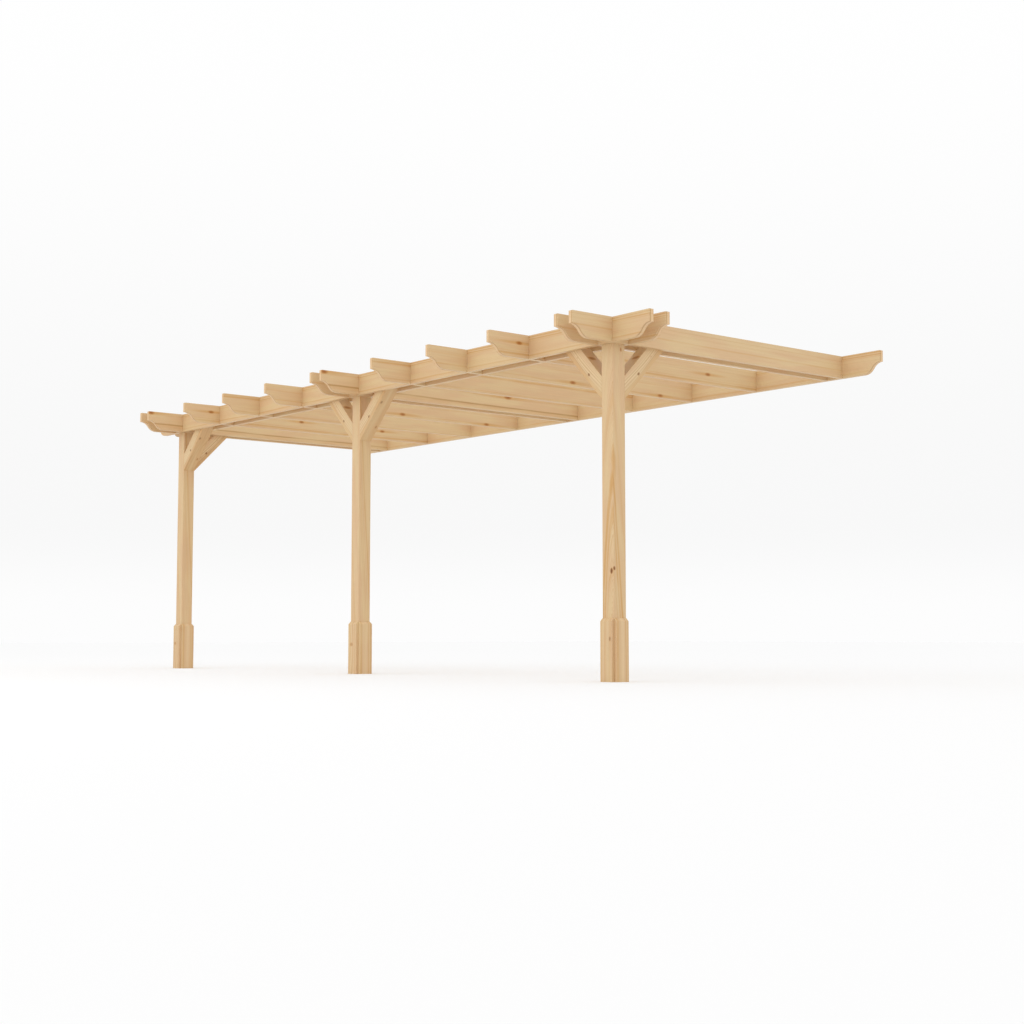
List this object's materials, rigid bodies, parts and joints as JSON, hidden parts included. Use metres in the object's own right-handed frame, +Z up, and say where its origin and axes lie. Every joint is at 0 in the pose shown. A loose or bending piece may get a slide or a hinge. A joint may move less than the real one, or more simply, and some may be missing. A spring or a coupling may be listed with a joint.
{
  "type": "lean-to timber pergola",
  "caption": "Open lean-to pergola of planed pine: square posts with knee braces and base blocks, paired front beams, ogee-ended rafters and a wall ledger.",
  "frame": {"origin": "middle of the wall ledger's back face, which lies against the wall", "axes": "+X along the wall to the right, seen from the garden; +Y into the wall; +Z up"},
  "size_m": [6, 2.4, 2.1],
  "materials": {
    "post_pine": "planed, untreated",
    "base_block_pine": "planed, untreated",
    "brace_pine": "planed, untreated",
    "beam_pine": "planed, untreated",
    "ledger_pine": "planed, untreated",
    "rafter_pine": "planed, untreated"
  },
  "bodies": {
    "root": {"left_post": "post_pine", "middle_post": "post_pine", "right_post": "post_pine", "left_post_front_base_block": "base_block_pine", "left_post_right_base_block": "base_block_pine", "left_post_back_base_block": "base_block_pine", "left_post_left_base_block": "base_block_pine", "middle_post_front_base_block": "base_block_pine", "middle_post_right_base_block": "base_block_pine", "middle_post_back_base_block": "base_block_pine", "middle_post_left_base_block": "base_block_pine", "right_post_front_base_block": "base_block_pine", "right_post_right_base_block": "base_block_pine", "right_post_back_base_block": "base_block_pine", "right_post_left_base_block": "base_block_pine", "left_post_right_brace": "brace_pine", "left_post_back_brace": "brace_pine", "middle_post_left_brace": "brace_pine", "middle_post_right_brace": "brace_pine", "right_post_left_brace": "brace_pine", "right_post_back_brace": "brace_pine", "outer_front_beam": "beam_pine", "inner_front_beam": "beam_pine", "wall_ledger": "ledger_pine", "rafter_01": "rafter_pine", "rafter_02": "rafter_pine", "rafter_03": "rafter_pine", "rafter_04": "rafter_pine", "rafter_05": "rafter_pine", "rafter_06": "rafter_pine", "rafter_07": "rafter_pine", "rafter_08": "rafter_pine", "rafter_09": "rafter_pine", "rafter_10": "rafter_pine", "rafter_11": "rafter_pine", "rafter_12": "rafter_pine"}
  },
  "joints": []
}
